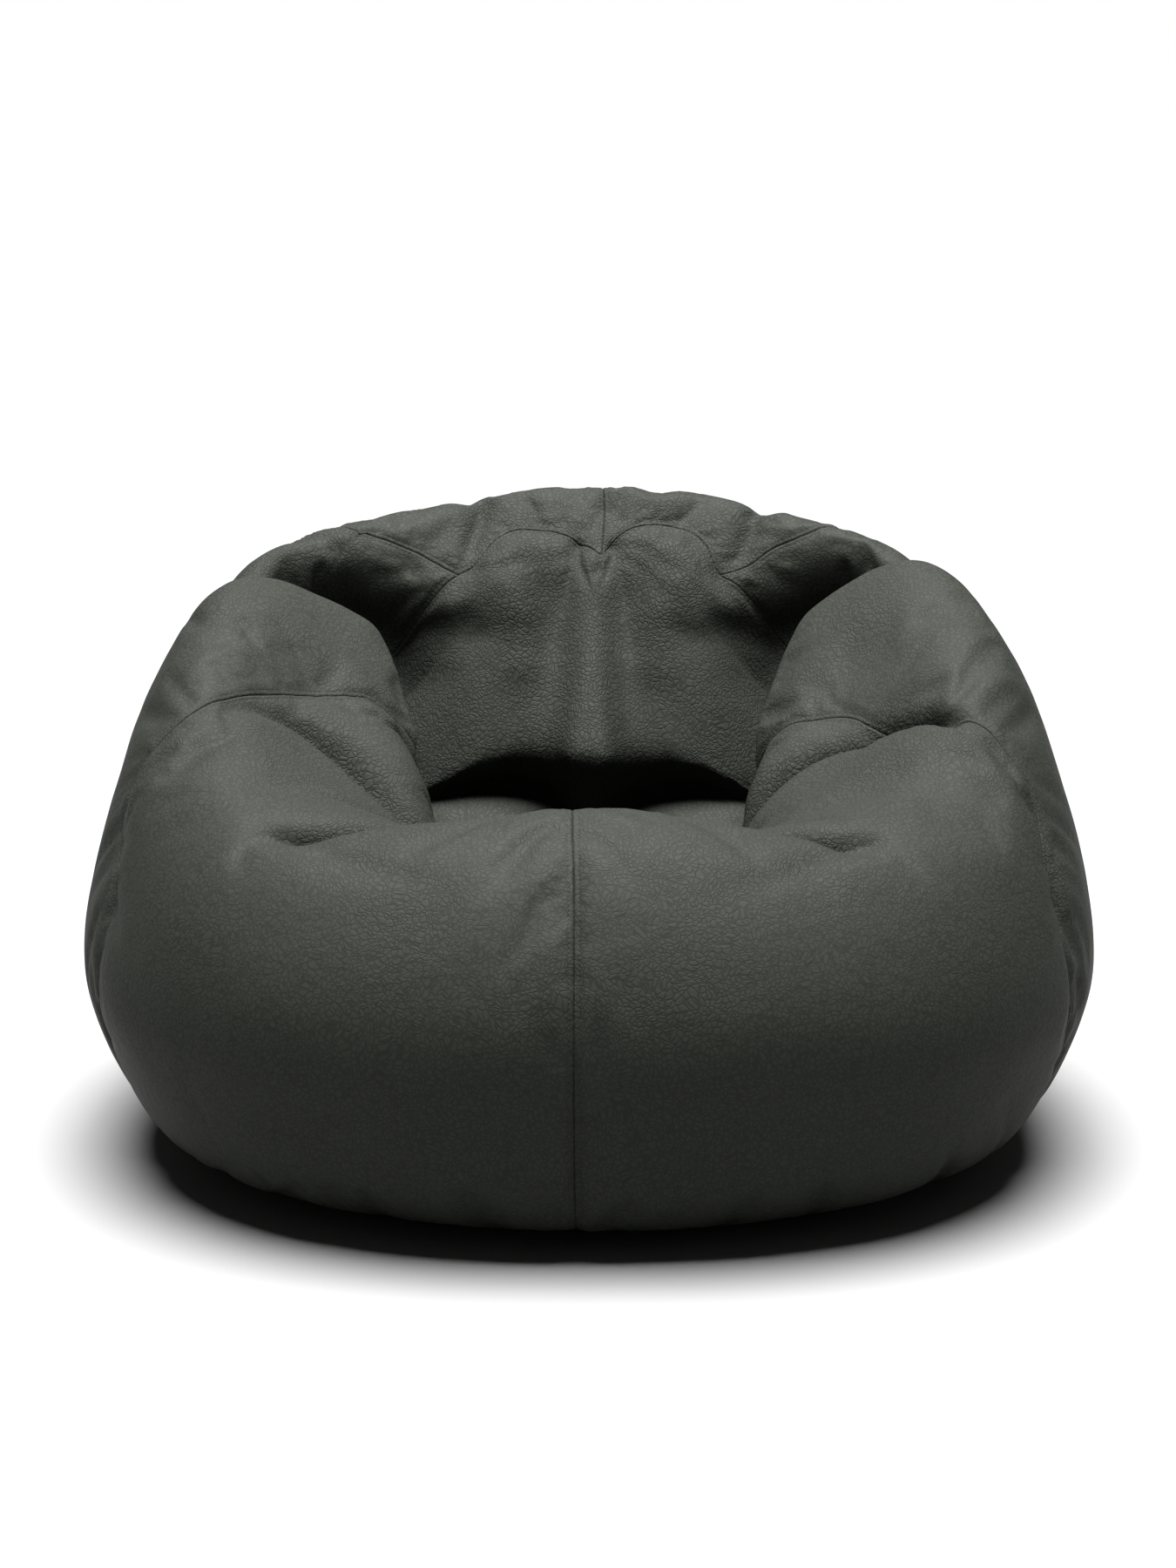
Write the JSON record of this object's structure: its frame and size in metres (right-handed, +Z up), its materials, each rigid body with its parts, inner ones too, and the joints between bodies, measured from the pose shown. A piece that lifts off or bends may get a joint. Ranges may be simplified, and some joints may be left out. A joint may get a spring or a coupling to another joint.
{
  "type": "bean bag chair",
  "caption": "Low bean bag armchair: a panelled faux-leather cover over a zipped inner liner full of beads, with a sunken seat, backrest and arms.",
  "frame": {"origin": "on the floor under the middle of the chair", "axes": "+Z up, the front faces -Y, +X to the right as seen from the front"},
  "size_m": [1.002, 0.9273, 0.6146],
  "materials": {
    "faux_leather": "pebble-grained, satin",
    "liner_cloth": "plain woven, matt",
    "beads": "expanded foam beads, matt",
    "zip_nylon": "moulded nylon coil",
    "zip_tape": "twill-woven tape",
    "zip_metal": "dark plated die casting",
    "label_cloth": "satin tape, blank"
  },
  "bodies": {
    "chair": {"front_panel_left": "faux_leather", "front_panel_right": "faux_leather", "arm_panel_left": "faux_leather", "arm_panel_right": "faux_leather", "back_panel_left": "faux_leather", "back_panel_right": "faux_leather", "seat_cap": "faux_leather", "base_panel": "faux_leather", "inner_liner": "liner_cloth", "bead_fill": "beads", "care_label": "label_cloth", "cover_zip_tape_left": "zip_tape", "cover_zip_coil_left": "zip_nylon", "cover_zip_top_stop_left": "zip_metal", "cover_zip_tape_right": "zip_tape", "cover_zip_coil_right": "zip_nylon", "cover_zip_top_stop_right": "zip_metal", "cover_zip_bottom_stop": "zip_metal", "liner_zip_tape_left": "zip_tape", "liner_zip_coil_left": "zip_nylon", "liner_zip_top_stop_left": "zip_metal", "liner_zip_tape_right": "zip_tape", "liner_zip_coil_right": "zip_nylon", "liner_zip_top_stop_right": "zip_metal", "liner_zip_bottom_stop": "zip_metal"},
    "cover_zip_runner": {"cover_zip_slider": "zip_metal"},
    "cover_pull": {"cover_zip_pull_tab": "zip_metal"},
    "liner_zip_runner": {"liner_zip_slider": "zip_metal"}
  },
  "joints": [
    {"name": "cover_zip_travel", "type": "hinge", "parent": "chair", "child": "cover_zip_runner", "pos_m": [0, 0.114, 0.26998], "axis": [-1, 0, 0], "range_deg": [0, 59], "deforming": ["cover_zip_coil_left", "cover_zip_coil_right"]},
    {"name": "cover_pull_swing", "type": "hinge", "parent": "cover_zip_runner", "child": "cover_pull", "pos_m": [0, 0.43876, 0.40261], "axis": [1, 0, 0], "range_deg": [0, 165]},
    {"name": "liner_zip_travel", "type": "hinge", "parent": "chair", "child": "liner_zip_runner", "pos_m": [0, 0.114, 0.26998], "axis": [-1, 0, 0], "range_deg": [0, 60], "deforming": ["liner_zip_coil_left", "liner_zip_coil_right"]}
  ]
}
